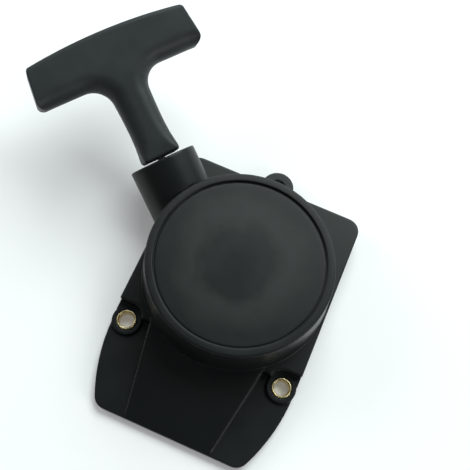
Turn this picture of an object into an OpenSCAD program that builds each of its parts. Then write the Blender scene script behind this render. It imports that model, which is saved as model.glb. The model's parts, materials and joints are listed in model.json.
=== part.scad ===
// Recoil starter of a small two-stroke engine.
//
// The origin is on the reel axis, in the plane of the mounting face. +X points to the right
// of the plate, +Y to the ear on its top edge, and +Z out of the drum's closed face.
// The pull frame has its X along the rope's way out, so u is a distance along the pull.

/* [Plate] */
// Half of the mounting plate's width
plate_half_w = 35.1; // [34.9:0.1:36.5]
// Height of the plate's top edge above the reel axis
plate_up = 38.0; // [37:0.1:39]
// Depth of the plate's bottom edge below the reel axis
plate_down = 61.4; // [60:0.1:64]
// Radius of the long curved sides towards the bottom edge
side_r = 66; // [54:0.5:68]
// Radius of the plate's corners
corner_r = 5; // [3.5:0.5:6]
// Thickness of the low flange beside the fairing
flange_t = 3; // [2.6:0.1:3.4]
// Height of the raised deck around the drum
deck_h = 8; // [7.5:0.1:8.5]
// General wall thickness of the moulding
wall = 2.3; // [2:0.1:2.5]

/* [Drum] */
// Outer radius of the drum at the deck
drum_base_r = 34.3; // [33.8:0.1:34.8]
// Outer radius of the drum at its rim
drum_top_r = 32.7; // [32:0.1:33]
// Height of the rim above the mounting face
drum_h = 25.5; // [25:0.1:27]
// Radius of the sunk disc in the drum's face
disc_r = 29.9; // [29:0.1:30.3]
// Depth of the disc below the rim
disc_sink = 0.7; // [0.5:0.1:1.2]

/* [Mounting] */
// Half of the spacing of the two sleeved holes
sleeve_x = 30; // [29.5:0.1:30.5]
// Distance of the sleeved holes below the reel axis
sleeve_down = 30.3; // [29.8:0.1:30.8]
// Radius of the bore of each mounting sleeve
sleeve_bore_r = 2.7; // [2.6:0.05:2.75]
// Outer radius of each mounting sleeve
sleeve_r = 3.6; // [3.4:0.05:3.8]
// Distance of the ear's hole above the reel axis
ear_up = 40.4; // [40:0.1:41]
// Radius of the ear's hole
ear_bore_r = 2.75; // [2.6:0.05:3]

/* [Rope] */
// Rope diameter
rope_d = 3.1; // [2.9:0.1:3.2]
// Direction of the pull over the plate, counted from +X
pull_angle = 142.4; // [141:0.2:144]
// Rise of the pull above the plate
pull_tilt = 22.3; // [20:0.1:24]
// Distance of the pull line from the reel axis
pull_offset = 4.9; // [4.7:0.1:5.1]
// Distance of the collar's mouth along the pull
collar_u = 50.5; // [50.5:0.1:50.6]
// Outer radius of the collar
collar_r = 12.5; // [12.2:0.05:12.6]

/* [Grip] */
// Half of the T-grip's length at its underside
grip_half = 32.3; // [30:0.1:36]
// Thickness of the T-grip
grip_t = 12.8; // [12.6:0.1:13.6]
// Gap between the collar's mouth and the grip's foot at rest
grip_gap = 0.7; // [0.6:0.1:1.5]

/* [Pawls] */
// Radius of the pawl pivots about the reel axis
pawl_pivot_r = 13.2; // [13:0.1:13.4]
// Swing of a pawl from stowed to engaged
pawl_swing = 28; // [24:1:30]
// Turn of the ratchet guide that swings the pawls out
guide_swing = 30; // [28:1:32]

/* [Hidden] */
$fn = 96;
eps = 0.01;
fit_gap = 0.05;
// farther from the reel axis than any edge of the plate
beyond = 80;

// heights of the stack inside the drum, from the mounting face up
head_z = 0.2;
washer_z = 2.2;
post_z = 3.0;
guide_z = 3.2;
guide_top = 4.8;
pawl_z = 5.2;
pawl_top = 7.6;
reel_z = 7.9;
groove_z = 9.2;
groove_top = 15.6;
reel_top = 16.9;
shield_z = 17.2;
shield_top = 17.6;
hub_top = 21.0;
cassette_z = 21.6;
roof_z = 22.4;

// radii inside the drum
drum_bore_r = drum_base_r - wall;
roof_bore_r = drum_top_r - wall - 0.2;
post_r = 6;
reel_bore_r = post_r + fit_gap;
flange_r = 27.4;
core_r = 17;
low_hub_r = 8.6;
spring_hub_r = 9;
shield_bore_r = spring_hub_r + 0.6;
cassette_r = 25.5;
seat_r = cassette_r + 0.15;
insert_r = 3.75;
screw_r = 2.48;

// drum edge
rim_chamfer = 0.4;

// bosses and their pockets
boss_floor = 4.2;
boss_r = 5.4;
pocket_r = 5.8;
deck_low_y = -28;
ear_h = 4;
ear_r = 6.2;
ear_head_r = 4.6;

// fairing below the drum
fairing_top = 8.2;
fairing_curve_r = 136;
fairing_curve_y = -24;
fairing_slope = 0.179;
fairing_half_w = 21.8;
fairing_ref_y = -27;

// where the pull line starts to rise, on the drum's wall, level with the reel's groove
bend_u = 34;
pull_z = (groove_z + groove_top) / 2;

// collar and guide bush
collar_bore_r = 9.9;
collar_wall_u = 47.3;
bush_r = 3.8;
bush_bore_r = 2.1;
bush_lip_r = 5.2;
bush_lip_t = 0.85;
bush_seat_r = bush_lip_r + 0.1;
bush_lip_u = collar_u - 0.1;
bush_inner_u = collar_wall_u - 0.6;

// winding
rope_r = rope_d / 2;
lay_pitch = rope_d - 0.1;
lay_r = [for (i = [0:2]) core_r + rope_r + 0.1 + i * lay_pitch];
lay_z = [for (i = [0:1]) pull_z + (i - 0.5) * lay_pitch];

// grip, along the pull
grip_u = collar_u + grip_gap;
grip_under_u = 82.8;
grip_end_u = 98.3;
grip_crown_u = 100.2;
grip_bore_r = rope_r + 0.4;
knot_pocket_r = 4.4;
knot_pocket_u = 89.3;
knot_washer_u = 89.6;
knot_washer_t = 0.9;
handle_knot_r = 2.85;
plug_u = knot_washer_u + knot_washer_t + 2 * handle_knot_r + 0.4;
reel_knot_r = 2.5;
reel_knot_at = 12.2;
reel_knot_turn = 100;
lead_u = 48.7;
stem_half = 6.7;
stem_top_half = 7.0;
neck_r = 8;

// pawls
pawl_bore_r = 2.05;
pin_r = 2.0;
peg_r = 1.3;
peg_reach = 8;
guide_r = 20.5;
guide_bore_r = post_r + 0.15;
slot_play = 0.35;

// colours
black = "#232427";
dark = "#2f3134";
brass = "#c9a24c";
steel = "#9a9ca0";
rope_colour = "#d9d5c8";
nylon = "#4a4d50";

// ---- outlines ----

// Points of an arc about c from angle a0 to a1
function arc(c, r, a0, a1, n = 12) =
    [for (i = [0:n]) let (a = a0 + (a1 - a0) * i / n) c + r * [cos(a), sin(a)]];

// The same points with X mirrored, in reverse order
function mirrored(pts) =
    [for (i = [len(pts) - 1:-1:0]) [-pts[i][0], pts[i][1]]];

// Right half of the plate's outline, from the bottom edge up, moved inwards by inset
function plate_half(inset) =
    let (
        side_c = [plate_half_w - side_r, -30],
        low_y = -plate_down + corner_r,
        low_x = side_c[0] + sqrt(pow(side_r - corner_r, 2) - pow(low_y - side_c[1], 2)),
        low_a = atan2(low_y - side_c[1], low_x - side_c[0]),
        top_c = [plate_half_w - corner_r, plate_up - corner_r]
    )
    concat(
        arc([low_x, low_y], corner_r - inset, -90, low_a, 8),
        arc(side_c, side_r - inset, low_a, 0, 16),
        arc(top_c, corner_r - inset, 0, 90, 10)
    );

module plate_outline(inset = 0) {
    half = plate_half(inset);
    polygon(concat(half, mirrored(half)));
}

// Half width of the fairing at a given y
function fairing_w(y) = fairing_half_w + (y - fairing_ref_y) * fairing_slope;

// Puts children in the level frame of the reel's groove: X runs over the plate along the pull
module groove_frame() {
    translate([0, 0, pull_z])
        rotate([0, 0, pull_angle])
            children();
}

// Puts children in the pull frame: X runs along the rising pull, and u counts along it
module pull_frame(u = 0) {
    groove_frame()
        translate([bend_u, pull_offset, 0])
            rotate([0, -pull_tilt, 0])
                translate([u - bend_u, 0, 0])
                    children();
}

// A round bar along the pull, between two distances
module pull_bar(r, u0, u1) {
    pull_frame(u0)
        rotate([0, 90, 0])
            cylinder(r = r, h = u1 - u0);
}

// A flat ring
module ring(r_out, r_in, z0, z1) {
    translate([0, 0, z0])
        linear_extrude(z1 - z0)
            difference() {
                circle(r_out);
                circle(r_in);
            }
}

// Runs children on the right boss and, mirrored, on the left one
module at_bosses() {
    for (side = [-1, 1])
        translate([side * sleeve_x, -sleeve_down, 0])
            scale([side, 1, 1])
                children();
}

// ---- starter case ----

// Raised deck around the drum, with a stepped top edge
module deck() {
    edge = 0.3;
    intersection() {
        union() {
            linear_extrude(deck_h - edge)
                plate_outline();
            linear_extrude(deck_h)
                plate_outline(edge);
        }
        translate([-beyond, deck_low_y, -1])
            cube([2 * beyond, beyond, 20]);
    }
}

// Convex top of the fairing, lowered by drop, as a round bar across the plate
module fairing_top_bar(drop) {
    translate([-beyond / 2, fairing_curve_y, fairing_top - fairing_curve_r])
        rotate([0, 90, 0])
            cylinder(r = fairing_curve_r - drop, h = beyond, $fn = 360);
}

// Fairing between the drum and the bottom edge, inset by drop
module fairing(drop = 0) {
    low_y = -plate_down - 1;
    high_y = -20;
    intersection() {
        translate([0, 0, -drop])
            linear_extrude(fairing_top + 1)
                intersection() {
                    plate_outline(drop);
                    polygon([
                        [-fairing_w(low_y) + drop, low_y], [fairing_w(low_y) - drop, low_y],
                        [fairing_w(high_y) - drop, high_y], [-fairing_w(high_y) + drop, high_y]
                    ]);
                }
        fairing_top_bar(drop);
    }
}

// Outside of the drum, from the mounting face to the sunk disc
module drum_outside() {
    disc_z = drum_h - disc_sink;
    groove = 0.2;
    rotate_extrude()
        polygon([
            [0, 0], [drum_base_r, 0], [drum_base_r, deck_h],
            [drum_top_r + 0.05, drum_h - rim_chamfer],
            [drum_top_r - rim_chamfer, drum_h],
            [disc_r + 0.25, drum_h], [disc_r, drum_h - 0.25],
            [disc_r, disc_z - groove], [disc_r - 0.4, disc_z - groove],
            [disc_r - 0.7, disc_z], [0, disc_z]
        ]);
}

// Room inside the drum, open at the mounting face
module drum_inside() {
    rotate_extrude()
        polygon([
            [0, -1], [drum_bore_r, -1], [drum_bore_r, deck_h],
            [roof_bore_r, roof_z], [0, roof_z]
        ]);
}

// Collar around the rope's way out, with a stepped rim, down to the mounting face
module collar_outside() {
    edge = 0.3;
    inner_u = 26;
    intersection() {
        union() {
            pull_bar(collar_r, inner_u, collar_u - edge);
            pull_bar(collar_r - edge, inner_u, collar_u);
        }
        translate([-beyond, 0, 0])
            cube(beyond);
    }
}

// Ear on the top edge, with its web into the deck
module ear() {
    translate([0, ear_up, 0])
        cylinder(r = ear_r, h = ear_h);
    translate([-ear_r, plate_up - wall, 0])
        cube([2 * ear_r, ear_up - plate_up + wall, ear_h]);
}

// Pocket over a boss, open to the plate's side
module boss_pocket() {
    translate([0, 0, boss_floor])
        linear_extrude(20)
            union() {
                circle(pocket_r);
                translate([0, -pocket_r])
                    square([20, 2 * pocket_r]);
            }
}

// Hollows under the deck, between its skirt, the drum and the collar
module deck_hollow() {
    difference() {
        translate([0, 0, -1])
            linear_extrude(deck_h - wall + 1)
                intersection() {
                    plate_outline(wall);
                    translate([-beyond, deck_low_y + 2 * wall])
                        square([2 * beyond, beyond]);
                }
        translate([0, 0, -2])
            cylinder(r = drum_base_r, h = 20);
        collar_outside();
    }
}

module fairing_hollow() {
    difference() {
        fairing(wall);
        translate([0, 0, -4])
            cylinder(r = drum_base_r, h = 30);
    }
}

// Way for the rope through the drum's wall, slanting and rising, and through the collar
module rope_way() {
    slot_r = 3.5;
    slot_l = 17;
    slot_slant = 26;
    slot_rise = 8;
    slot_start = [20, 17.6, -0.6];
    pull_bar(collar_bore_r, 20, collar_wall_u);
    groove_frame()
        translate(slot_start)
            rotate([0, 90 - slot_rise, -slot_slant])
                cylinder(r = slot_r, h = slot_l);
}

// Seat of the guide bush in the collar's end wall
module bush_seat() {
    pull_bar(bush_r + fit_gap, collar_wall_u - 1, collar_u + 1);
    pull_bar(bush_seat_r, bush_lip_u - bush_lip_t - fit_gap, collar_u + 1);
}

module centre_post() {
    difference() {
        translate([0, 0, post_z])
            cylinder(r = post_r, h = roof_z - post_z + eps);
        translate([0, 0, post_z - 1])
            cylinder(r = insert_r + fit_gap, h = 12.2);
        translate([0, 0, post_z])
            cylinder(r = screw_r + 0.4, h = 14);
    }
}

// Ring that holds the spring cassette under the drum's face
module cassette_seat() {
    ring(seat_r + 1.4, seat_r, shield_top, roof_z + eps);
}

// Stiffening ribs under the fairing
module fairing_ribs() {
    rib_t = 1.6;
    intersection() {
        fairing(wall - eps);
        for (x = [-9, 9])
            translate([x - rib_t / 2, -plate_down, 0])
                cube([rib_t, plate_down - drum_base_r + 3, 20]);
    }
}

module starter_case() {
    color(black) {
        difference() {
            union() {
                linear_extrude(flange_t)
                    plate_outline();
                deck();
                fairing();
                drum_outside();
                collar_outside();
                ear();
                at_bosses()
                    cylinder(r = boss_r, h = boss_floor);
            }
            at_bosses()
                boss_pocket();
            deck_hollow();
            fairing_hollow();
            drum_inside();
            rope_way();
            bush_seat();
            at_bosses()
                translate([0, 0, -1])
                    cylinder(r = sleeve_r + fit_gap, h = 10);
            translate([0, ear_up, -1])
                cylinder(r = ear_bore_r, h = 10);
            translate([0, ear_up, ear_h])
                cylinder(r = ear_head_r, h = 10);
        }
        difference() {
            fairing_ribs();
            translate([0, 0, -4])
                cylinder(r = drum_base_r - 0.5, h = 30);
        }
        centre_post();
        cassette_seat();
    }
}

// ---- pieces fixed in the case ----

module mount_sleeve(side) {
    color(brass)
        translate([side * sleeve_x, -sleeve_down, 0])
            rotate_extrude()
                polygon([
                    [sleeve_bore_r, 0], [sleeve_r, 0], [sleeve_r, boss_floor + 0.15],
                    [sleeve_r - 0.25, boss_floor + 0.4],
                    [sleeve_bore_r, boss_floor + 0.4]
                ]);
}

module left_mount_sleeve() {
    mount_sleeve(-1);
}

module right_mount_sleeve() {
    mount_sleeve(1);
}

// Flanged eyelet that the rope runs through, with rounded mouths
module rope_guide_bush() {
    round_r = 1.4;
    color(steel)
        pull_frame()
            rotate([0, 90, 0])
                rotate_extrude()
                    difference() {
                        union() {
                            translate([bush_bore_r, bush_inner_u])
                                square([bush_r - bush_bore_r, bush_lip_u - bush_inner_u]);
                            translate([bush_bore_r, bush_lip_u - bush_lip_t])
                                square([bush_lip_r - bush_bore_r, bush_lip_t]);
                        }
                        translate([bush_bore_r - eps, bush_lip_u - round_r + eps])
                            difference() {
                                square(round_r);
                                translate([round_r, 0])
                                    circle(round_r);
                            }
                    }
}

// Cup that holds the rewind spring against the drum's face
module spring_cassette() {
    color(steel) {
        ring(cassette_r, shield_bore_r, cassette_z, roof_z - fit_gap);
        ring(cassette_r, cassette_r - 0.7, shield_top + 0.1, cassette_z + eps);
    }
}

// Thin disc that closes the cassette towards the reel
module spring_shield() {
    color(steel)
        ring(seat_r + 1.2, shield_bore_r, shield_z, shield_top - fit_gap);
}

// Clock spring wound in the cassette
module rewind_spring() {
    strip_t = 0.45;
    first_r = 9.75;
    turn_pitch = 1.34;
    turns = 10.5;
    steps = 24;
    inner = [for (i = [0:turns * steps])
        let (a = 360 * i / steps, r = first_r + turn_pitch * i / steps)
            r * [cos(a), sin(a)]];
    outer = [for (i = [turns * steps:-1:0])
        let (a = 360 * i / steps, r = first_r + strip_t + turn_pitch * i / steps)
            r * [cos(a), sin(a)]];
    color(steel)
        translate([0, 0, shield_top + 0.3])
            linear_extrude(cassette_z - shield_top - 0.6)
                polygon(concat(inner, outer));
}

// Threaded insert in the centre post
module post_insert() {
    color(brass)
        ring(insert_r, screw_r + fit_gap, post_z + fit_gap, post_z + 10.8);
}

module centre_washer() {
    color(steel)
        ring(9, screw_r + 0.15, washer_z + fit_gap, post_z - fit_gap);
}

// Low-head screw with a hexagon socket
module centre_screw() {
    head_r = 4.7;
    socket_r = 1.75;
    color(steel)
        difference() {
            union() {
                translate([0, 0, head_z])
                    cylinder(r = head_r, h = washer_z - head_z);
                translate([0, 0, head_z])
                    cylinder(r = screw_r, h = 12.5);
            }
            translate([0, 0, head_z - 1])
                cylinder(r = socket_r, h = 2.4, $fn = 6);
        }
}

// ---- rope ----

function unit(v) = v / norm(v);

// Direction of the route at point i
function heading(pts, i) =
    unit(pts[min(i + 1, len(pts) - 1)] - pts[max(i - 1, 0)]);

// A round tube swept along points, none of them straight above the last
module tube_along(pts, r, sides = 8) {
    rings = [for (i = [0:len(pts) - 1])
        let (
            t = heading(pts, i),
            across = unit(cross([0, 0, 1], t)),
            rise = cross(t, across)
        )
            for (k = [0:sides - 1])
                let (a = 360 * (k + 0.5) / sides)
                    pts[i] + r * (cos(a) * across + sin(a) * rise)];
    last = (len(pts) - 1) * sides;
    walls = [for (i = [0:len(pts) - 2])
        for (k = [0:sides - 1])
            let (n = (k + 1) % sides)
                [i * sides + k, i * sides + n, (i + 1) * sides + n, (i + 1) * sides + k]];
    polyhedron(
        points = rings,
        faces = concat(
            walls,
            [[for (k = [sides - 1:-1:0]) k]],
            [[for (k = [0:sides - 1]) last + k]]
        )
    );
}

// Route of the rope from the winding to the guide bush, in the frame of the reel's groove
run_route = [
    [22.2, 16.5, 0], [25, 15.15, 0.15], [28, 13.7, 0.5], [31, 12.2, 1.1], [34, 10.8, 1.8],
    [37, 9.3, 2.5], [40, 7.8, 3.2], [42.5, 6.5, 3.85], [44.3, 5.6, 4.35], [45.6, 5.1, 4.78],
    [46.5, 4.93, 5.12], [47.33, 4.9, 5.46]
];

// Rope between the winding and the guide bush
module rope_run() {
    color(rope_colour)
        groove_frame()
            tube_along(run_route, rope_r);
}

// Rope from the guide bush to the knot in the grip
module rope_lead() {
    color(rope_colour)
        pull_bar(rope_r, lead_u, knot_washer_u + knot_washer_t + 0.05);
}

// ---- reel and what is on it ----

module rope_reel() {
    pocket_depth = 5.2;
    color(nylon)
        difference() {
            union() {
                rotate_extrude()
                    polygon([
                        [reel_bore_r, pawl_z], [low_hub_r, pawl_z], [low_hub_r, reel_z],
                        [flange_r, reel_z], [flange_r, groove_z - 0.3],
                        [flange_r - 0.8, groove_z], [core_r, groove_z],
                        [core_r, groove_top], [flange_r - 0.8, groove_top],
                        [flange_r, groove_top + 0.3], [flange_r, reel_top],
                        [spring_hub_r, reel_top], [spring_hub_r, hub_top],
                        [reel_bore_r, hub_top]
                    ]);
            }
            for (side = [-1, 1])
                translate([side * pawl_pivot_r, 0, reel_z - 1])
                    cylinder(r = pin_r + 0.02, h = 6.2);
            for (a = [45, 225, 280])
                rotate([0, 0, a])
                    translate([12.6, 0, reel_z - 1])
                        cylinder(r = 3.4, h = pocket_depth + 1);
            rotate([0, 0, reel_knot_turn]) {
                translate([reel_knot_at, 0, reel_z - 1])
                    cylinder(r = 3.5, h = pocket_depth + 1.4);
                translate([reel_knot_at, 0, lay_z[0]])
                    rotate([0, 90, 0])
                        cylinder(r = rope_r + 0.2, h = 8);
            }
            translate([-0.8, 6, shield_top + 0.3])
                cube([1.6, 6, 10]);
        }
}

// Rope wound on the reel, in turns that lie side by side
module rope_winding() {
    color(rope_colour)
        rotate_extrude()
            for (r = lay_r, z = lay_z)
                translate([r, z])
                    circle(rope_r);
}

// Knot at the rope's inner end, in its pocket in the reel
module reel_knot() {
    color(rope_colour)
        rotate([0, 0, reel_knot_turn])
            translate([reel_knot_at, 0, lay_z[0]]) {
                sphere(r = reel_knot_r);
                rotate([0, 90, 0])
                    cylinder(r = rope_r, h = 4.7);
            }
}

module pawl_pin(side) {
    color(steel)
        translate([side * pawl_pivot_r, 0, pawl_z - 0.1])
            cylinder(r = pin_r, h = 7.8);
}

module pawl_pin_a() {
    pawl_pin(1);
}

module pawl_pin_b() {
    pawl_pin(-1);
}

// Pawl, stowed beside the hub, with its cam peg towards the guide
module pawl() {
    color(steel)
        translate([pawl_pivot_r, 0, 0])
            difference() {
                union() {
                    translate([0, 0, pawl_z])
                        linear_extrude(pawl_top - pawl_z) {
                            circle(3.5);
                            polygon([
                                [-2.8, 0], [-2.3, -9], [-1.2, -13.4], [1.6, -13.6],
                                [2.4, -12.4], [2.6, -8], [3.3, 0]
                            ]);
                        }
                    translate([0, -peg_reach, guide_z + 0.2])
                        cylinder(r = peg_r, h = pawl_z - guide_z);
                }
                translate([0, 0, pawl_z - 1])
                    cylinder(r = pawl_bore_r, h = 5);
            }
}

module pawl_a() {
    pawl();
}

module pawl_b() {
    rotate([0, 0, 180])
        pawl();
}

// ---- ratchet guide ----

function turned(p, a) = [p[0] * cos(a) - p[1] * sin(a), p[0] * sin(a) + p[1] * cos(a)];

// Place of the cam peg in the guide, with the pawls a share s of the way out
function peg_at(s) =
    turned([pawl_pivot_r, 0] + turned([0, -peg_reach], s * pawl_swing), -s * guide_swing);

// Cam slot that the peg of a pawl slides along
module cam_slot() {
    steps = 10;
    path = [for (i = [0:steps]) peg_at(i / steps)];
    side = [for (i = [0:steps])
        let (t = unit(path[min(i + 1, steps)] - path[max(i - 1, 0)]))
            (peg_r + slot_play) * [-t[1], t[0]]];
    polygon(concat(
        [for (i = [0:steps]) path[i] + side[i]],
        [for (i = [steps:-1:0]) path[i] - side[i]]
    ));
    for (end = [path[0], path[steps]])
        translate(end)
            circle(peg_r + slot_play);
}

module ratchet_guide() {
    recess_r = 8;
    recess_h = 1.0;
    color(dark)
        difference() {
            translate([0, 0, guide_z])
                linear_extrude(guide_top - guide_z)
                    difference() {
                        circle(guide_r);
                        circle(guide_bore_r);
                        for (a = [0, 180])
                            rotate(a)
                                cam_slot();
                    }
            translate([0, 0, guide_z - 1])
                cylinder(r = recess_r, h = recess_h + 1);
            translate([0, -0.8, guide_z - 1])
                cube([11, 1.6, recess_h + 1]);
        }
}

// Wire clip that grips the post and holds the guide back
module friction_spring() {
    wire_r = 0.42;
    mean_r = 6.55;
    color(steel)
        translate([0, 0, guide_z + 0.5]) {
            rotate_extrude(angle = 330)
                translate([mean_r, 0])
                    circle(wire_r, $fn = 24);
            translate([mean_r, 0, 0])
                rotate([0, 90, 0])
                    cylinder(r = wire_r, h = 3.6, $fn = 24);
        }
}

// ---- grip ----

// Half of the T-grip's outline in the pull plane, from the foot to the crown
function grip_half_outline() =
    let (
        foot = [[grip_u, 0], [grip_u, 6.3], [grip_u + 0.5, 7.0], [grip_u + 1.6, 7.2]],
        neck_c = [grip_under_u - neck_r, stem_top_half + neck_r + 0.3],
        end_c = [grip_under_u + 2.5, grip_half - 2.5],
        top_c = [grip_end_u - 2, grip_half - 3.6],
        crown_r = (pow(grip_half - 4, 2) + pow(grip_crown_u - grip_end_u, 2))
            / (2 * (grip_crown_u - grip_end_u))
    )
    concat(
        foot,
        [[grip_u + 4, stem_half + 0.1], [grip_u + 12, stem_half]],
        arc(neck_c, neck_r, -90, 0, 12),
        arc(end_c, 2.5, 180, 90, 5),
        arc(top_c, 2, 85, 5, 5),
        [for (i = [0:7])
            let (y = (grip_half - 6) * (1 - i / 7))
                [grip_crown_u - crown_r + sqrt(crown_r * crown_r - y * y), y]]
    );

module grip_outline() {
    half = grip_half_outline();
    polygon(concat(half, [for (i = [len(half) - 1:-1:0]) [half[i][0], -half[i][1]]]));
}

module pull_handle() {
    bevels = [[0, 4.8], [0.8, 5.8], [2.2, grip_t / 2]];
    color(black)
        difference() {
            pull_frame()
                for (b = bevels)
                    translate([0, 0, -b[1]])
                        linear_extrude(2 * b[1])
                            offset(delta = -b[0])
                                grip_outline();
            pull_bar(grip_bore_r, grip_u - 1, knot_pocket_u + 1);
            pull_bar(knot_pocket_r, knot_pocket_u, grip_crown_u + 1);
        }
}

// Cap that closes the knot's pocket in the grip
module handle_plug() {
    color(dark)
        pull_bar(knot_pocket_r - fit_gap, plug_u, grip_crown_u - 0.1);
}

module knot_washer() {
    color(steel)
        pull_frame(knot_washer_u)
            rotate([0, 90, 0])
                ring(knot_pocket_r - 0.4, rope_r + 0.1, 0, knot_washer_t);
}

module handle_knot() {
    color(rope_colour)
        pull_frame(knot_washer_u + knot_washer_t + 0.1 + handle_knot_r)
            sphere(r = handle_knot_r);
}

starter_case();
left_mount_sleeve();
right_mount_sleeve();
rope_guide_bush();
spring_cassette();
spring_shield();
rewind_spring();
post_insert();
centre_washer();
centre_screw();
rope_run();
rope_reel();
rope_winding();
reel_knot();
pawl_pin_a();
pawl_pin_b();
ratchet_guide();
friction_spring();
pawl_a();
pawl_b();
rope_lead();
knot_washer();
handle_knot();
pull_handle();
handle_plug();
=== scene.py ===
"""Recoil starter: the looks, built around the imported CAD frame. Units are metres."""

import json
import math

import bmesh
import bpy
from mathutils import Matrix, Vector


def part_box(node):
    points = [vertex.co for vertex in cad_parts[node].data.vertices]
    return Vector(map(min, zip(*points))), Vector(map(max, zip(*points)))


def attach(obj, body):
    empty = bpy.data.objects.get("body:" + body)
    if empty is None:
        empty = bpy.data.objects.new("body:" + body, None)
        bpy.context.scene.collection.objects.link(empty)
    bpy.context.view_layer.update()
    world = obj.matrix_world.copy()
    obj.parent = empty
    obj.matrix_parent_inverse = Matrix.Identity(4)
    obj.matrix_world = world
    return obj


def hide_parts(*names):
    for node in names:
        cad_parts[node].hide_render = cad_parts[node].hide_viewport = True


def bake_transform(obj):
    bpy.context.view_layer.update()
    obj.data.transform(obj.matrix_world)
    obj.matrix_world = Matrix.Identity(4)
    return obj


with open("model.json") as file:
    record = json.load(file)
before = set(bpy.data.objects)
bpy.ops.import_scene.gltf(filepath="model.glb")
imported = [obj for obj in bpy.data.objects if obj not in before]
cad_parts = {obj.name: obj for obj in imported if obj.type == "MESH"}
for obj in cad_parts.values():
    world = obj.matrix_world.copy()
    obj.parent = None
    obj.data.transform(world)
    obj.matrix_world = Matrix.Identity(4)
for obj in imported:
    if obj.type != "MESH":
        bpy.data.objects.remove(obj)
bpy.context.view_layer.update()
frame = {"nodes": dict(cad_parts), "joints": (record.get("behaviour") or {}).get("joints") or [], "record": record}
MM = 0.001

# ---- places taken from the frame ----

BODY_OF = {
    node: body
    for body, nodes in frame["record"]["behaviour"]["bodies"].items()
    for node in nodes
}
JOINT = {joint["name"]: joint for joint in frame["joints"]}
PULL = Vector(JOINT["rope_pull"]["axis"]).normalized()
PULL_ANGLE = math.atan2(PULL.y, PULL.x)
PULL_TILT = math.asin(PULL.z)
TWIST_AT = Vector(JOINT["grip_twist"]["pos_m"])
TWIST_U = 70 * MM
# Frame whose X runs along the rope's way out, counted as the part's source counts it
PULL_FRAME = (
    Matrix.Translation(TWIST_AT)
    @ Matrix.Rotation(PULL_ANGLE, 4, "Z")
    @ Matrix.Rotation(-PULL_TILT, 4, "Y")
    @ Matrix.Translation((-TWIST_U, 0, 0))
)
ALONG_X = Matrix.Rotation(math.radians(90), 4, "Y")


def along_pull(u):
    """Frame whose Z runs along the rope's way out, at the distance u."""
    return PULL_FRAME @ Matrix.Translation((u, 0, 0)) @ ALONG_X


def pull_span(node):
    """Lowest and highest distance of a node's points along the rope's way out."""
    u = [(v.co - TWIST_AT).dot(PULL) + TWIST_U for v in frame["nodes"][node].data.vertices]
    return min(u), max(u)


def node_box(node):
    low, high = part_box(node)
    return Vector(low), Vector(high)


# ---- camera ----

CAMERA_LENS = 54.9
CAMERA_AZIMUTH = 13.4
CAMERA_ELEVATION = 70.0
CAMERA_ROLL = 10.4
CAMERA_DISTANCE = 0.268
CAMERA_SLIDE = (-0.0004, 0.01745)


def make_camera():
    az, el = math.radians(CAMERA_AZIMUTH), math.radians(CAMERA_ELEVATION)
    back = Vector(
        (math.sin(az) * math.cos(el), -math.cos(az) * math.cos(el), math.sin(el))
    )
    level = Vector((math.cos(az), math.sin(az), 0))
    turn = Matrix.Rotation(math.radians(CAMERA_ROLL), 3, back)
    right = turn @ level
    up = back.cross(right)
    place = back * CAMERA_DISTANCE + right * CAMERA_SLIDE[0] + up * CAMERA_SLIDE[1]
    data = bpy.data.cameras.new("camera")
    data.lens = CAMERA_LENS
    data.sensor_width = 36
    data.clip_start = 0.01
    data.clip_end = 20
    camera = bpy.data.objects.new("camera", data)
    bpy.context.scene.collection.objects.link(camera)
    camera.matrix_world = Matrix.Translation(place) @ Matrix(
        (right, up, back)
    ).transposed().to_4x4()
    bpy.context.scene.camera = camera
    return camera


# ---- materials ----


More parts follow.
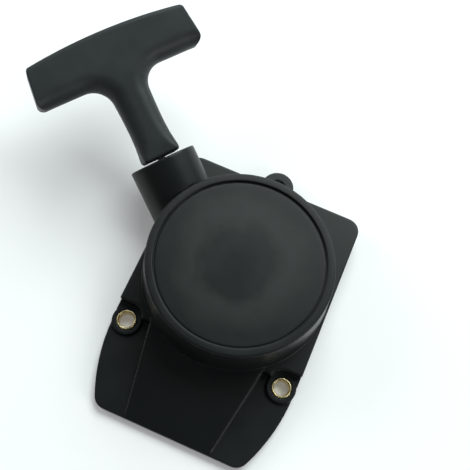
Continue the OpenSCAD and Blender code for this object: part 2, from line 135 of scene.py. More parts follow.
class Shader:
    """Short way to write a node tree around one Principled shader."""

    def __init__(self, name):
        self.material = bpy.data.materials.new(name)
        self.material.use_nodes = True
        self.tree = self.material.node_tree
        self.principled = self.tree.nodes["Principled BSDF"]

    def set(self, node, key, value):
        socket = node.inputs[key]
        if isinstance(value, bpy.types.NodeSocket):
            self.tree.links.new(value, socket)
        else:
            socket.default_value = value

    def math(self, operation, a, b=0.0):
        made = self.tree.nodes.new("ShaderNodeMath")
        made.operation = operation
        self.set(made, 0, a)
        self.set(made, 1, b)
        return made.outputs[0]

    def place(self):
        return self.tree.nodes.new("ShaderNodeTexCoord").outputs["Object"]

    def noise(self, vector, scale, detail=3.0, roughness=0.5):
        made = self.tree.nodes.new("ShaderNodeTexNoise")
        self.set(made, "Vector", vector)
        self.set(made, "Scale", scale)
        self.set(made, "Detail", detail)
        self.set(made, "Roughness", roughness)
        return made.outputs[0]

    def spread(self, value, low, high, start=0.0, stop=1.0):
        """Maps value from start..stop to low..high, clamped."""
        made = self.tree.nodes.new("ShaderNodeMapRange")
        made.clamp = True
        for key, number in (
            ("Value", value),
            ("From Min", start),
            ("From Max", stop),
            ("To Min", low),
            ("To Max", high),
        ):
            self.set(made, key, number)
        return made.outputs[0]

    def blend(self, factor, a, b):
        """Mixes two colours."""
        made = self.tree.nodes.new("ShaderNodeMix")
        made.data_type = "RGBA"
        self.set(made, 0, factor)
        made.inputs[6].default_value = (*a, 1) if isinstance(a, tuple) else (0, 0, 0, 1)
        if isinstance(a, bpy.types.NodeSocket):
            self.tree.links.new(a, made.inputs[6])
        made.inputs[7].default_value = (*b, 1) if isinstance(b, tuple) else (0, 0, 0, 1)
        if isinstance(b, bpy.types.NodeSocket):
            self.tree.links.new(b, made.inputs[7])
        return made.outputs[2]

    def bump(self, height, depth, strength=1.0, normal=None):
        made = self.tree.nodes.new("ShaderNodeBump")
        self.set(made, "Height", height)
        self.set(made, "Distance", depth)
        self.set(made, "Strength", strength)
        if normal is not None:
            self.set(made, "Normal", normal)
        return made.outputs[0]

    def finish(self, colour=None, roughness=None, normal=None, **plain):
        if colour is not None:
            value = (*colour, 1) if isinstance(colour, tuple) else colour
            self.set(self.principled, "Base Color", value)
        if roughness is not None:
            self.set(self.principled, "Roughness", roughness)
        if normal is not None:
            self.set(self.principled, "Normal", normal)
        for key, value in plain.items():
            self.principled.inputs[key.replace("_", " ")].default_value = value
        return self.material


BLACK_LOW = (0.0030, 0.0038, 0.0040)
BLACK_HIGH = (0.0052, 0.0062, 0.0064)
# This colour is the case's tone at half weight everywhere, and the painted light ring of the drum's face at full
# weight; the next one is a brighter painted highlight on that ring.
TONE_AND_PAINTED_RING_LIGHT = (0.0115, 0.0137, 0.0133)
PAINTED_RING_HIGHLIGHT = (0.0180, 0.0214, 0.0206)
RUBBED = (0.016, 0.018, 0.018)
PLASTIC_IOR = 1.29


def moulded_plastic(name, dark, light, rough_low, rough_high, grain=0.00003, ior=PLASTIC_IOR):
    """Moulded plastic: fine spark-eroded grain, faint flow mottling and rubbed edges."""
    s = Shader(name)
    place = s.place()
    mottle = s.noise(place, 45, 4, 0.6)
    patch = s.noise(place, 160, 3, 0.55)
    grain_noise = s.noise(place, 2600, 2, 0.6)
    edge = s.tree.nodes.new("ShaderNodeNewGeometry").outputs["Pointiness"]
    rub = s.spread(edge, 0.0, 0.5, 0.53, 0.62)
    colour = s.blend(s.spread(mottle, 0, 1, 0.35, 0.65), dark, light)
    colour = s.blend(rub, colour, tuple(c * 2.2 for c in light))
    rough = s.spread(
        s.math("ADD", s.math("MULTIPLY", mottle, 0.6), s.math("MULTIPLY", patch, 0.4)),
        rough_low,
        rough_high,
        0.35,
        0.65,
    )
    normal = s.bump(grain_noise, grain, 0.6)
    return s.finish(colour, rough, normal, IOR=ior)


def case_plastic():
    """The case's black nylon, with a painted light ring and painted shade at the hub of the drum's face."""
    s = Shader("case_black")
    place = s.place()
    mottle = s.noise(place, 42, 4, 0.6)
    patch = s.noise(place, 150, 3, 0.55)
    grain_noise = s.noise(place, 2600, 2, 0.6)
    split = s.tree.nodes.new("ShaderNodeSeparateXYZ")
    s.set(split, 0, place)
    x, y, z = split.outputs
    radius = s.math("SQRT", s.math("ADD", s.math("MULTIPLY", x, x), s.math("MULTIPLY", y, y)))
    wobble = s.math("MULTIPLY", s.math("SUBTRACT", mottle, 0.5), 0.022)
    shifted = s.math("ADD", radius, wobble)
    on_disc = s.math(
        "MULTIPLY",
        s.spread(z, 0, 1, DRUM_H - DISC_SINK - 0.5 * MM, DRUM_H - DISC_SINK - 0.2 * MM),
        s.spread(radius, 1, 0, DISC_R - 1.5 * MM, DISC_R - 1 * MM),
    )
    # Painted shade at the hub and a painted light ring on the drum's face, their radii shifted by the mottle.
    painted_hub_shade = s.spread(shifted, 1, 0, 1 * MM, 9 * MM)
    ring = s.math(
        "MULTIPLY", s.spread(shifted, 0, 1, 11 * MM, 16 * MM), s.spread(shifted, 1, 0, 17 * MM, 26 * MM)
    )
    painted_ring_light_hub_shade = s.math("MULTIPLY", on_disc, s.math("SUBTRACT", ring, painted_hub_shade))
    edge = s.tree.nodes.new("ShaderNodeNewGeometry").outputs["Pointiness"]
    rub = s.spread(edge, 0.0, 0.5, 0.53, 0.62)
    rub = s.math("MULTIPLY", rub, s.math("SUBTRACT", 1, on_disc))
    colour = s.blend(s.spread(mottle, 0, 1, 0.35, 0.65), BLACK_LOW, BLACK_HIGH)
    # Painted light ring and painted hub shade on the drum's face, then a painted highlight on the ring; off the
    # disc this gives the case half of its tone.
    colour = s.blend(s.spread(painted_ring_light_hub_shade, 0, 1, -1, 1), colour, TONE_AND_PAINTED_RING_LIGHT)
    colour = s.blend(s.spread(painted_ring_light_hub_shade, 0, 1, 0.1, 1), colour, PAINTED_RING_HIGHLIGHT)
    colour = s.blend(rub, colour, RUBBED)
    wear = s.math("ADD", s.math("MULTIPLY", mottle, 0.6), s.math("MULTIPLY", patch, 0.4))
    rough = s.spread(wear, 0.31, 0.41, 0.35, 0.65)
    normal = s.bump(grain_noise, 0.00003, 0.55)
    return s.finish(colour, rough, normal, IOR=PLASTIC_IOR)


def metal(name, dark, light, rough, scratch=0.35):
    """Metal with faint machining lines, fine scratches and a dull film."""
    s = Shader(name)
    place = s.place()
    film = s.noise(place, 220, 4, 0.6)
    fine = s.noise(place, 1800, 3, 0.7)
    stretched = s.tree.nodes.new("ShaderNodeMapping")
    s.set(stretched, "Vector", place)
    stretched.inputs["Scale"].default_value = (1, 14, 1)
    lines = s.noise(stretched.outputs[0], 420, 2, 0.5)
    colour = s.blend(s.spread(film, 0, 1, 0.3, 0.7), dark, light)
    roughness = s.spread(
        s.math("ADD", s.math("MULTIPLY", film, 0.5), s.math("MULTIPLY", lines, 0.5)),
        rough - 0.08,
        rough + 0.10,
        0.35,
        0.65,
    )
    normal = s.bump(lines, 0.00002, scratch)
    normal = s.bump(fine, 0.00001, 0.5, normal)
    return s.finish(colour, roughness, normal, Metallic=1.0)


def braid(s, along, around, strands=8, pitch=0.0052):
    """Height of a round braid: two sets of strands that cross."""
    turns = s.math("MULTIPLY", around, strands)
    run = s.math("MULTIPLY", along, 2 * math.pi * strands / (2 * pitch))
    left = s.math("SINE", s.math("ADD", turns, run))
    right = s.math("SINE", s.math("SUBTRACT", turns, run))
    return s.math("MULTIPLY", left, right)


def rope_finish(s, height, place):
    """Off-white braided nylon cord, soiled in random patches, with painted shade between its strands."""
    soil = s.noise(place, 130, 4, 0.6)
    fibre = s.noise(place, 6000, 2, 0.7)
    # Painted shade: the colour goes darker where the braid is low, between the strands.
    low = s.spread(height, 0, 1, -0.9, 0.5)
    colour = s.blend(low, (0.30, 0.28, 0.24), (0.72, 0.70, 0.64))
    colour = s.blend(s.spread(soil, 0, 0.35, 0.5, 0.75), colour, (0.25, 0.24, 0.22))
    normal = s.bump(height, 0.00025, 0.9)
    normal = s.bump(fibre, 0.00004, 0.5, normal)
    s.principled.inputs["Sheen Weight"].default_value = 0.2
    s.principled.inputs["Sheen Roughness"].default_value = 0.5
    return s.finish(colour, 0.72, normal, IOR=1.45)


def straight_rope():
    """Rope whose braid follows the pull line, so it keeps its lay however far it is drawn."""
    s = Shader("rope_straight")
    place = s.place()
    mapping = s.tree.nodes.new("ShaderNodeMapping")
    mapping.vector_type = "TEXTURE"
    s.set(mapping, "Vector", place)
    mapping.inputs["Location"].default_value = TWIST_AT
    mapping.inputs["Rotation"].default_value = (0, -PULL_TILT, PULL_ANGLE)
    split = s.tree.nodes.new("ShaderNodeSeparateXYZ")
    s.set(split, 0, mapping.outputs[0])
    around = s.math("ARCTAN2", split.outputs[2], split.outputs[1])
    return rope_finish(s, braid(s, split.outputs[0], around), place)


def wound_rope():
    """Rope whose braid follows the tube's own length, kept in its UV map in metres."""
    s = Shader("rope_wound")
    split = s.tree.nodes.new("ShaderNodeSeparateXYZ")
    s.set(split, 0, s.tree.nodes.new("ShaderNodeTexCoord").outputs["UV"])
    around = s.math("MULTIPLY", split.outputs[1], 2 * math.pi)
    return rope_finish(s, braid(s, split.outputs[0], around), s.place())


FLOOR_GLOW = 0.12
FLOOR_DARK = (0.80, 0.80, 0.80)
FLOOR_LIGHT = (0.84, 0.84, 0.84)


def pale_floor():
    """A pale table that glows a little, as a light table does."""
    s = Shader("pale_floor")
    place = s.place()
    colour = s.blend(s.spread(s.noise(place, 3, 2), 0, 1, 0.3, 0.7), FLOOR_DARK, FLOOR_LIGHT)
    s.principled.inputs["Emission Color"].default_value = (1, 1, 1, 1)
    s.principled.inputs["Emission Strength"].default_value = FLOOR_GLOW
    material = s.finish(colour, 0.9)
    # The floor is clear from below, so the underside can be looked at
    clear = s.tree.nodes.new("ShaderNodeBsdfTransparent")
    either = s.tree.nodes.new("ShaderNodeMixShader")
    s.set(either, 0, s.tree.nodes.new("ShaderNodeNewGeometry").outputs["Backfacing"])
    s.tree.links.new(s.principled.outputs[0], either.inputs[1])
    s.tree.links.new(clear.outputs[0], either.inputs[2])
    s.tree.links.new(either.outputs[0], s.tree.nodes["Material Output"].inputs[0])
    return material


# ---- meshes ----


def new_piece(name, mesh, material, body, nodes=()):
    """Links a mesh as a piece that rides on a body and stands for CAD nodes."""
    piece = bpy.data.objects.new(name, mesh)
    bpy.context.scene.collection.objects.link(piece)
    mesh.materials.clear()
    mesh.materials.append(material)
    for polygon in mesh.polygons:
        polygon.use_smooth = True
    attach(piece, body)
    if nodes:
        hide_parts(*nodes)
    if not mesh.polygons:
        raise ValueError(name + " came out empty")
    return piece


def evaluated(mesh, modifiers):
    """A mesh after a list of (kind, settings) modifiers."""
    holder = bpy.data.objects.new("holder", mesh)
    bpy.context.scene.collection.objects.link(holder)
    for kind, settings in modifiers:
        modifier = holder.modifiers.new(kind.lower(), kind)
        for key, value in settings.items():
            setattr(modifier, key, value)
    graph = bpy.context.evaluated_depsgraph_get()
    made = bpy.data.meshes.new_from_object(holder.evaluated_get(graph))
    bpy.data.objects.remove(holder)
    return made


def softened(mesh, voxel, passes, keep=1.0):
    """Moulded look: an even skin over the shape, with its edges rounded by smoothing."""
    steps = [
        ("REMESH", {"mode": "VOXEL", "voxel_size": voxel, "adaptivity": 0.0}),
        ("SMOOTH", {"factor": 0.5, "iterations": passes}),
    ]
    if keep < 1:
        steps.append(("DECIMATE", {"ratio": keep}))
    return evaluated(mesh, steps)


def soft_node(node, material, voxel, passes, keep=1.0):
    """A softened copy of a CAD node that stands for it."""
    mesh = softened(frame["nodes"][node].data.copy(), voxel, passes, keep)
    return new_piece(node + "_moulded", mesh, material, BODY_OF[node], [node])


def rounded(profile, radius, steps=4):
    """Closed profile with each corner off the axis cut back to a small arc."""
    made = []
    count = len(profile)
    for i, corner in enumerate(profile):
        p = Vector(corner)
        if p.x == 0:
            made.append(p)
            continue
        before = Vector(profile[i - 1]) - p
        after = Vector(profile[(i + 1) % count]) - p
        r = min(radius, before.length * 0.45, after.length * 0.45)
        a, b = p + before.normalized() * r, p + after.normalized() * r
        for k in range(steps + 1):
            t = k / steps
            made.append(a * (1 - t) ** 2 + p * 2 * t * (1 - t) + b * t * t)
    return made


def lathe(name, profile, place, segments=96, radius=0.15 * MM):
    """A closed profile of (radius, height) points turned about the Z of place."""
    ring = rounded(profile, radius)
    bm = bmesh.new()
    rows = []
    for i in range(segments):
        a = 2 * math.pi * i / segments
        rows.append(
            [bm.verts.new(place @ Vector((p.x * math.cos(a), p.x * math.sin(a), p.y))) for p in ring]
        )
    count = len(ring)
    for i in range(segments):
        now, then = rows[i], rows[(i + 1) % segments]
        for k in range(count):
            n = (k + 1) % count
            if ring[k].x or ring[n].x:
                bm.faces.new((now[k], then[k], then[n], now[n]))
    bmesh.ops.remove_doubles(bm, verts=bm.verts, dist=0.0002 * MM)
    bmesh.ops.recalc_face_normals(bm, faces=bm.faces)
    mesh = bpy.data.meshes.new(name)
    bm.to_mesh(mesh)
    bm.free()
    return mesh


def tube(name, points, radius, sides=12, closed_ends=True):
    """A round tube along points, with its length and turn kept as UVs in metres."""
    points = [Vector(p) for p in points]
    bm = bmesh.new()
    uv = bm.loops.layers.uv.new("lay")
    length = 0.0
    rows, lengths = [], []
    for i, p in enumerate(points):
        ahead = points[min(i + 1, len(points) - 1)] - points[max(i - 1, 0)]
        t = ahead.normalized()
        side = t.cross(Vector((0, 0, 1)))
        side = side.normalized() if side.length > 1e-6 else Vector((1, 0, 0))
        rise = side.cross(t)
        if i:
            length += (p - points[i - 1]).length
        lengths.append(length)
        rows.append(
            [
                bm.verts.new(
                    p
                    + side * radius * math.cos(2 * math.pi * k / sides)
                    + rise * radius * math.sin(2 * math.pi * k / sides)
                )
                for k in range(sides)
            ]
        )
    for i in range(len(points) - 1):
        for k in range(sides):
            n = (k + 1) % sides
            face = bm.faces.new((rows[i][k], rows[i + 1][k], rows[i + 1][n], rows[i][n]))
            for loop, (row, step) in zip(face.loops, ((i, k), (i + 1, k), (i + 1, k + 1), (i, k + 1))):
                loop[uv].uv = (lengths[row], step / sides)
    if closed_ends:
        bm.faces.new(rows[0])
        bm.faces.new(rows[-1][::-1])
    bmesh.ops.recalc_face_normals(bm, faces=bm.faces)
    mesh = bpy.data.meshes.new(name)
    bm.to_mesh(mesh)
    bm.free()
    return mesh


# ---- the T-grip ----

GRIP_U, GRIP_CROWN_U = pull_span("pull_handle")
GRIP_UNDER_U = GRIP_CROWN_U - 17.4 * MM
GRIP_END_U = GRIP_CROWN_U - 1.9 * MM
KNOT_POCKET_U = pull_span("knot_washer")[0] - 0.3 * MM
KNOT_POCKET_R = 4.4 * MM
GRIP_HALF = 32.3 * MM
GRIP_THICK = 12.8 * MM
NECK_R = 8 * MM
ROLL_R = 6.0 * MM
# A little slimmer than its outline, so its rolled edges stay within the part's size
GRIP_SLIM = (1, 0.992, 0.944, 1)


def arc(centre, radius, start, stop, steps):
    """Points of an arc, in degrees."""
    angles = [math.radians(start + (stop - start) * i / steps) for i in range(steps + 1)]
    return [
        Vector((centre[0] + radius * math.cos(a), centre[1] + radius * math.sin(a)))
        for a in angles
    ]


def crown_at(y):
    """Distance along the pull of the T-grip's convex top, y away from its middle."""
    span = GRIP_HALF - 4 * MM
    rise = GRIP_CROWN_U - GRIP_END_U
    radius = (span**2 + rise**2) / (2 * rise)
    return GRIP_CROWN_U - radius + math.sqrt(radius**2 - y * y)


def grip_outline():
    """The T's outline with arms that run on past their ends, and the edge radius at each point."""
    over = GRIP_HALF + 6 * MM
    neck_y = 7.1 * MM + NECK_R
    half = []

    def add(points, edge):
        half.extend((p, edge) for p in points)

    add([Vector((GRIP_U, y * MM)) for y in (0.5, 2, 3.5, 5)], 1.2 * MM)
    add([Vector((GRIP_U, 6.2 * MM))], 3 * MM)
    stem = [(0.6, 6.95), (2, 7.1), (4, 7.0), (7, 6.8), (11, 6.7), (15, 6.75), (19, 6.85), (22, 7.0)]
    add([Vector((GRIP_U + u * MM, y * MM)) for u, y in stem], ROLL_R)
    add(arc((GRIP_UNDER_U - NECK_R, neck_y), NECK_R, -90, 0, 14), ROLL_R)
    start = neck_y + 2 * MM
    add([Vector((GRIP_UNDER_U, start + (over - start) * i / 8)) for i in range(9)], ROLL_R)
    corner = crown_at(over)
    add([Vector((GRIP_UNDER_U + (corner - GRIP_UNDER_U) * t, over)) for t in (0.3, 0.7)], 2 * MM)
    for i in range(18):
        y = over * (1 - (i + 0.2) / 18)
        add([Vector((crown_at(y), y))], 1.5 * MM)
    other = [(Vector((p.x, -p.y)), edge) for p, edge in reversed(half)]
    return half + other


def grip_ends():
    """A block that keeps what lies between the T's two flat ends, with their corners rounded."""
    high = GRIP_CROWN_U + 3 * MM
    half = [Vector((GRIP_U - 5 * MM, 0)), Vector((GRIP_U - 5 * MM, GRIP_HALF - 3 * MM))]
    half += arc((GRIP_UNDER_U + 3 * MM, GRIP_HALF - 3 * MM), 3 * MM, 180, 96, 8)
    half += arc((GRIP_END_U - 2 * MM, GRIP_HALF - 3.6 * MM), 2 * MM, 84, 10, 6)
    half += [Vector((high, GRIP_HALF - 6 * MM)), Vector((high, 0))]
    other = [Vector((p.x, -p.y)) for p in reversed(half[1:-1])]
    return prism("ends", half + other, GRIP_THICK)


def prism(name, outline, half_height):
    """A straight block over an outline in the pull frame."""
    bm = bmesh.new()
    low = [bm.verts.new((p.x, p.y, -half_height)) for p in outline]
    high = [bm.verts.new((p.x, p.y, half_height)) for p in outline]
    for i in range(len(outline)):
        n = (i + 1) % len(outline)
        bm.faces.new((low[i], low[n], high[n], high[i]))
    bm.faces.new(low[::-1])
    bm.faces.new(high)
    bmesh.ops.recalc_face_normals(bm, faces=bm.faces)
    mesh = bpy.data.meshes.new(name)
    bm.to_mesh(mesh)
    bm.free()
    return mesh


def inscribed(points, normals):
    """Radius of the largest circle inside the outline that touches it at each point."""
    made = []
    for p, n in zip(points, normals):
        best = 1.0
        for q in points:
            gap = q - p
            lean = gap.dot(n)
            if gap.length > 1e-7 and lean > 1e-9:
                best = min(best, gap.length_squared / (2 * lean))
        made.append(best)
    return made


def grip_mesh():
    """The T-grip: its outline, rolled over to flat faces with an edge radius that varies."""
    outline = grip_outline()
    points = [p for p, _ in outline]
    count = len(points)
    normals = []
    for i in range(count):
        tangent = (points[(i + 1) % count] - points[i - 1]).normalized()
        normals.append(Vector((-tangent.y, tangent.x)))
    middle = sum(points, Vector((0, 0))) / count
    if normals[0].dot(middle - points[0]) < 0:
        normals = [-n for n in normals]
    room = inscribed(points, normals)
    half_thick = GRIP_THICK / 2
    edges = [min(edge, 0.8 * r, half_thick - 0.2 * MM) for (_, edge), r in zip(outline, room)]
    for _ in range(3):
        edges = [(edges[i - 1] + 2 * edges[i] + edges[(i + 1) % count]) / 4 for i in range(count)]
    steps = 9
    bm = bmesh.new()
    rings = []
    for side in (-1, 1):
        levels = range(steps, -1, -1) if side < 0 else range(steps + 1)
        for k in levels:
            roll = math.radians(90 * k / steps)
            ring = []
            for p, n, r in zip(points, normals, edges):
                inward = p + n * r * (1 - math.cos(roll))
                z = side * (half_thick - r + r * math.sin(roll))
                ring.append(bm.verts.new((inward.x, inward.y, z)))
            rings.append(ring)
    for low, high in zip(rings, rings[1:]):
        for i in range(count):
            n = (i + 1) % count
            bm.faces.new((low[i], low[n], high[n], high[i]))
    caps = [bm.faces.new(rings[0][::-1]), bm.faces.new(rings[-1])]
    bmesh.ops.triangulate(bm, faces=caps)
    bmesh.ops.recalc_face_normals(bm, faces=bm.faces)
    mesh = bpy.data.meshes.new("grip_raw")
    bm.to_mesh(mesh)
    bm.free()
    mesh = combined(mesh, grip_ends(), "INTERSECT")
    mesh.transform(PULL_FRAME @ Matrix.Diagonal(GRIP_SLIM))
    return mesh


def combined(mesh, tool, operation):
    """Mesh after a boolean operation with a tool mesh."""
    holder = bpy.data.objects.new("tool", tool)
    bpy.context.scene.collection.objects.link(holder)
    settings = {"operation": operation, "object": holder, "solver": "EXACT"}
    made = evaluated(mesh, [("BOOLEAN", settings)])
    bpy.data.objects.remove(holder)
    return made


def bar_mesh(radius, start, stop):
    """A plain round cutting tool along the pull."""
    bm = bmesh.new()
    bmesh.ops.create_cone(
        bm,
        cap_ends=True,
        segments=64,
        radius1=radius,
        radius2=radius,
        depth=stop - start,
        matrix=along_pull((start + stop) / 2),
    )
    mesh = bpy.data.meshes.new("bar")
    bm.to_mesh(mesh)
    bm.free()
    return mesh


def make_grip(material):
    voxel = 0.3 * MM
    mesh = softened(grip_mesh(), voxel, 5)
    way = bar_mesh(1.95 * MM, GRIP_U - 1 * MM, KNOT_POCKET_U + 1 * MM)
    pocket = bar_mesh(KNOT_POCKET_R, KNOT_POCKET_U, GRIP_CROWN_U + 3 * MM)
    mesh = combined(combined(mesh, way, "DIFFERENCE"), pocket, "DIFFERENCE")
    new_piece("t_grip", mesh, material, "grip", ["pull_handle"])
    low, high = pull_span("handle_plug")
    rim = KNOT_POCKET_R - 0.1 * MM
    profile = [(0, low), (rim, low), (rim, high - 0.3 * MM), (rim - 0.3 * MM, high - 0.05 * MM)]
    profile += [(1.4 * MM, high), (1.1 * MM, high - 0.4 * MM), (0, high - 0.4 * MM)]
    cap = lathe("cap", profile, along_pull(0), 72, 0.12 * MM)
    new_piece("grip_cap", cap, material, "grip", ["handle_plug"])


# ---- turned and coiled pieces ----

DRUM_BASE_R = 34.3 * MM
DRUM_TOP_R = 32.7 * MM
DRUM_H = 25.5 * MM
DISC_R = 29.9 * MM
DISC_SINK = 0.7 * MM
DECK_H = 8 * MM


DRUM_LOW = DECK_H + 1.2 * MM
DRUM_LOW_R = DRUM_BASE_R - 1.2 * MM * (DRUM_BASE_R - DRUM_TOP_R) / (DRUM_H - DECK_H)
DISC_Z = DRUM_H - DISC_SINK
RIM_CHAMFER = 0.4 * MM


def drum_inside(depth):
    """Inner side of the drum's skin, depth below its outer side, from the axis to its low edge."""
    under = DISC_Z - depth
    return [
        (0, under), (DISC_R - 0.4 * MM, under - 0.3 * MM),
        (DRUM_TOP_R - depth, under - 0.3 * MM), (DRUM_LOW_R - depth, DRUM_LOW),
    ]


def drum_skin():
    """Closed section of the drum's outer skin."""
    outside = [
        (DRUM_LOW_R, DRUM_LOW),
        (DRUM_TOP_R + 0.05 * MM, DRUM_H - RIM_CHAMFER), (DRUM_TOP_R - RIM_CHAMFER, DRUM_H),
        (DISC_R + 0.25 * MM, DRUM_H), (DISC_R, DRUM_H - 0.25 * MM), (DISC_R, DISC_Z - 0.2 * MM),
        (DISC_R - 0.4 * MM, DISC_Z - 0.2 * MM), (DISC_R - 0.7 * MM, DISC_Z),
    ]
    outside += [(DISC_R * part, DISC_Z) for part in (0.93, 0.8, 0.6, 0.4, 0.2, 0.06, 0)]
    return outside + drum_inside(0.9 * MM)


def drum_room():
    """Section of the room that the skin takes from the moulding, open well above the drum."""
    gap = 0.02 * MM
    lid = DRUM_H + 2 * MM
    top_r = DRUM_TOP_R + 0.05 * MM + gap
    outside = [(DRUM_LOW_R + gap, DRUM_LOW), (top_r, DRUM_H - RIM_CHAMFER), (top_r, lid), (0, lid)]
    return outside + drum_inside(0.45 * MM)


def make_case(material, voxel):
    """The moulding: its softened body, and the drum's skin turned in one crisp piece."""
    room = lathe("room", drum_room(), Matrix.Identity(4), 180, 0.02 * MM)
    mesh = combined(frame["nodes"]["starter_case"].data.copy(), room, "DIFFERENCE")
    mesh = softened(mesh, voxel, 3, 0.5)
    new_piece("case_moulding", mesh, material, "case", ["starter_case"])
    skin = lathe("skin", drum_skin(), Matrix.Identity(4), 180, 0.22 * MM)
    new_piece("drum_skin", skin, material, "case", ["starter_case"])


def make_sleeves(material):
    """Turned sleeves: a rounded lip at the top and a countersunk mouth."""
    for side in ("left", "right"):
        node = side + "_mount_sleeve"
        low, high = node_box(node)
        centre = (low + high) / 2
        r_out = (high.x - low.x) / 2
        r_in = 2.7 * MM
        h = high.z
        profile = [
            (r_in, 0.4 * MM), (r_in + 0.3 * MM, 0), (r_out - 0.2 * MM, 0), (r_out, 0.3 * MM),
            (r_out, h - 0.3 * MM), (r_out - 0.22 * MM, h), (r_in + 0.28 * MM, h), (r_in, h - 0.4 * MM),
        ]
        mesh = lathe(node, profile, Matrix.Translation((centre.x, centre.y, 0)), 96, 0.12 * MM)
        new_piece(side + "_sleeve_turned", mesh, material, "case", [node])


def make_winding(material):
    """The rope's turns on the reel: two side by side, in three layers."""
    low, high = node_box("rope_winding")
    pitch = 3.0 * MM
    r = 1.52 * MM
    outer = high.x - 1.55 * MM
    radii = [outer - pitch * (2 - i) for i in range(3)]
    mid = (low.z + high.z) / 2
    sides = (0, 1, 1, 0, 0, 1)
    steps = 72
    points = []
    for turn in range(6):
        here = (radii[turn // 2], mid + (sides[turn] - 0.5) * pitch)
        nxt = min(turn + 1, 5)
        there = (radii[nxt // 2], mid + (sides[nxt] - 0.5) * pitch)
        for k in range(steps):
            t = max(0.0, (k / steps - 0.85) / 0.15)
            w = t * t * (3 - 2 * t)
            radius = here[0] * (1 - w) + there[0] * w
            z = here[1] * (1 - w) + there[1] * w
            a = -2 * math.pi * (turn + k / steps)
            points.append((radius * math.cos(a), radius * math.sin(a), z))
    mesh = tube("winding", points, r, 12)
    new_piece("rope_turns", mesh, material, "reel", ["rope_winding"])


KNOT_AT_R = 12.2 * MM
KNOT_TURN = math.radians(100)
GROOVE_Z = 12.4 * MM


def make_knots(material):
    """Overhand knots at the rope's two ends."""
    pocket = Matrix.Rotation(KNOT_TURN, 4, "Z") @ Vector((KNOT_AT_R, 0, 0))
    low, high = node_box("reel_knot")
    pocket.z = (low.z + high.z) / 2
    low, high = node_box("handle_knot")
    places = {"reel_knot": ("reel", pocket), "handle_knot": ("rope_end", (low + high) / 2)}
    size = 0.57 * MM
    for node, (body, centre) in places.items():
        points = []
        for i in range(97):
            t = 2 * math.pi * i / 96
            x = math.sin(t) + 2 * math.sin(2 * t)
            y = math.cos(t) - 2 * math.cos(2 * t)
            points.append(centre + Vector((x, y, -1.7 * math.sin(3 * t))) * size)
        mesh = tube(node + "_knot", points, 1.1 * MM, 10, False)
        new_piece(node + "_tied", mesh, material, body, [node])


def make_rope(straight, wound):
    """Rope from the winding to the bush, along the part's own route, and the stretch drawn out."""
    groove = Matrix.Translation((0, 0, GROOVE_Z)) @ Matrix.Rotation(PULL_ANGLE, 4, "Z")
    route = [
        (22.5, 16.4, 0), (25, 15.15, 0.15), (28, 13.7, 0.5), (31, 12.2, 1.1), (34, 10.8, 1.8),
        (37, 9.3, 2.5), (40, 7.8, 3.2), (42.5, 6.5, 3.85), (44.3, 5.6, 4.35), (45.6, 5.1, 4.78),
        (46.5, 4.93, 5.12), (47.5, 4.9, 5.53),
    ]
    points = [groove @ (Vector(place) * MM) for place in route]
    mesh = tube("run", points, 1.5 * MM, 14)
    new_piece("rope_inner_run", mesh, wound, "case", ["rope_run"])
    start, stop = pull_span("rope_lead")
    steps = 160
    points = [PULL_FRAME @ Vector((start + (stop - start) * i / steps, 0, 0)) for i in range(steps + 1)]
    mesh = tube("lead", points, 1.5 * MM, 16)
    piece = bpy.data.objects.new("rope_drawn_out", mesh)
    bpy.context.scene.collection.objects.link(piece)
    mesh.materials.append(straight)
    for polygon in mesh.polygons:
        polygon.use_smooth = True
    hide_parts("rope_lead")
    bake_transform(piece)


def make_bush(material):
    start, stop = pull_span("rope_guide_bush")
    r_in, r_out, lip = 2.1 * MM, 3.8 * MM, 5.2 * MM
    rim = stop - 0.85 * MM
    profile = [(r_in, start + 1 * MM), (r_in + 0.9 * MM, start), (r_out, start), (r_out, rim), (lip, rim)]
    profile += [(lip, stop - 0.2 * MM), (lip - 0.3 * MM, stop), (r_in + 1.1 * MM, stop)]
    profile += [(r_in + 0.3 * MM, stop - 0.4 * MM), (r_in, stop - 1.3 * MM)]
    mesh = lathe("bush", profile, along_pull(0), 72, 0.2 * MM)
    new_piece("eyelet_turned", mesh, material, "case", ["rope_guide_bush"])


def shade_nodes(table):
    """Gives CAD nodes that stay their finished materials."""
    for node, material in table.items():
        mesh = frame["nodes"][node].data
        mesh.materials.clear()
        mesh.materials.append(material)


# ---- light ----


def area_light(name, place, target, size, power, colour=(1, 1, 1)):
    data = bpy.data.lights.new(name, "AREA")
    data.shape = "RECTANGLE"
    data.size, data.size_y = size
    data.energy = power
    data.color = colour
    light = bpy.data.objects.new(name, data)
    bpy.context.scene.collection.objects.link(light)
    light.location = place
    aim = Vector(target) - Vector(place)
    light.rotation_mode = "QUATERNION"
    light.rotation_quaternion = aim.to_track_quat("-Z", "Y")
    return light


WINDOW_TINT = (0.90, 1, 0.98)
SKY_TINT = (0.9, 0.93, 1, 1)
SKY_STRENGTH = 0.12
FLOOR_HALF = 3


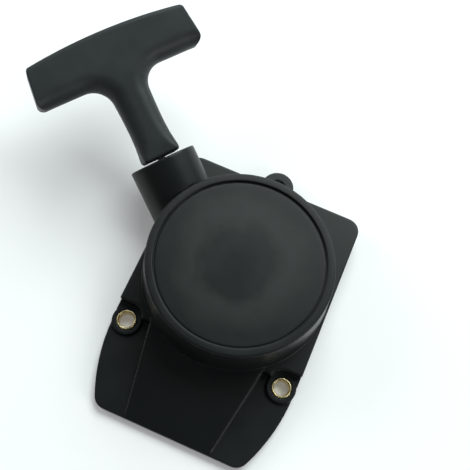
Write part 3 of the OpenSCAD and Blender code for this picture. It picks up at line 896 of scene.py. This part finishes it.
def make_stage():
    bm = bmesh.new()
    bmesh.ops.create_grid(bm, x_segments=8, y_segments=8, size=FLOOR_HALF)
    mesh = bpy.data.meshes.new("floor")
    bm.to_mesh(mesh)
    bm.free()
    floor = bpy.data.objects.new("floor", mesh)
    bpy.context.scene.collection.objects.link(floor)
    floor.location = (0, 0, -0.1 * MM)
    mesh.materials.append(pale_floor())
    world = bpy.data.worlds.new("studio")
    world.use_nodes = True
    world.node_tree.nodes["Background"].inputs[0].default_value = SKY_TINT
    world.node_tree.nodes["Background"].inputs[1].default_value = SKY_STRENGTH
    bpy.context.scene.world = world
    area_light("window", (0.12, 0.85, 0.85), (0, 0, 0), (1.3, 1.0), 22, WINDOW_TINT)
    area_light("fill", (-0.9, 0.1, 0.45), (0, 0, 0), (0.5, 0.5), 3)
    area_light("rim", (0.9, -0.2, 0.35), (0, 0, 0), (0.4, 0.4), 3)
    bpy.context.scene.view_settings.view_transform = "Standard"


# ---- the scene ----

make_camera()
make_stage()

black = case_plastic()
grip_black = moulded_plastic("grip_black", (0.022, 0.025, 0.026), (0.029, 0.033, 0.034), 0.40, 0.52)
reel_grey = moulded_plastic("reel_grey", (0.05, 0.052, 0.055), (0.07, 0.072, 0.075), 0.38, 0.5)
guide_black = moulded_plastic("guide_black", (0.02, 0.02, 0.021), (0.03, 0.03, 0.031), 0.32, 0.42)
brass = metal("brass", (0.62, 0.50, 0.25), (0.80, 0.68, 0.40), 0.24)
zinc = metal("zinc", (0.50, 0.50, 0.48), (0.66, 0.66, 0.63), 0.30)
blued = metal("blued", (0.12, 0.13, 0.16), (0.22, 0.22, 0.25), 0.30)
oxide = metal("oxide", (0.05, 0.05, 0.055), (0.09, 0.09, 0.095), 0.38)
sintered = metal("sintered", (0.34, 0.33, 0.31), (0.48, 0.47, 0.45), 0.42)
rope_straight = straight_rope()
rope_wound = wound_rope()

make_case(black, (0.3) * MM)
make_grip(grip_black)
make_sleeves(brass)
make_winding(rope_wound)
make_knots(rope_wound)
make_rope(rope_straight, rope_wound)
make_bush(zinc)
soft_node("rope_reel", reel_grey, 0.35 * MM, 2, 0.5)
soft_node("ratchet_guide", guide_black, 0.2 * MM, 2, 0.4)
soft_node("pawl_a", sintered, 0.12 * MM, 2, 0.4)
soft_node("pawl_b", sintered, 0.12 * MM, 2, 0.4)
soft_node("centre_screw", oxide, 0.12 * MM, 2, 0.5)
shade_nodes(
    {
        "spring_cassette": zinc,
        "spring_shield": zinc,
        "rewind_spring": blued,
        "post_insert": brass,
        "centre_washer": zinc,
        "pawl_pin_a": zinc,
        "pawl_pin_b": zinc,
        "friction_spring": blued,
        "knot_washer": zinc,
    }
)
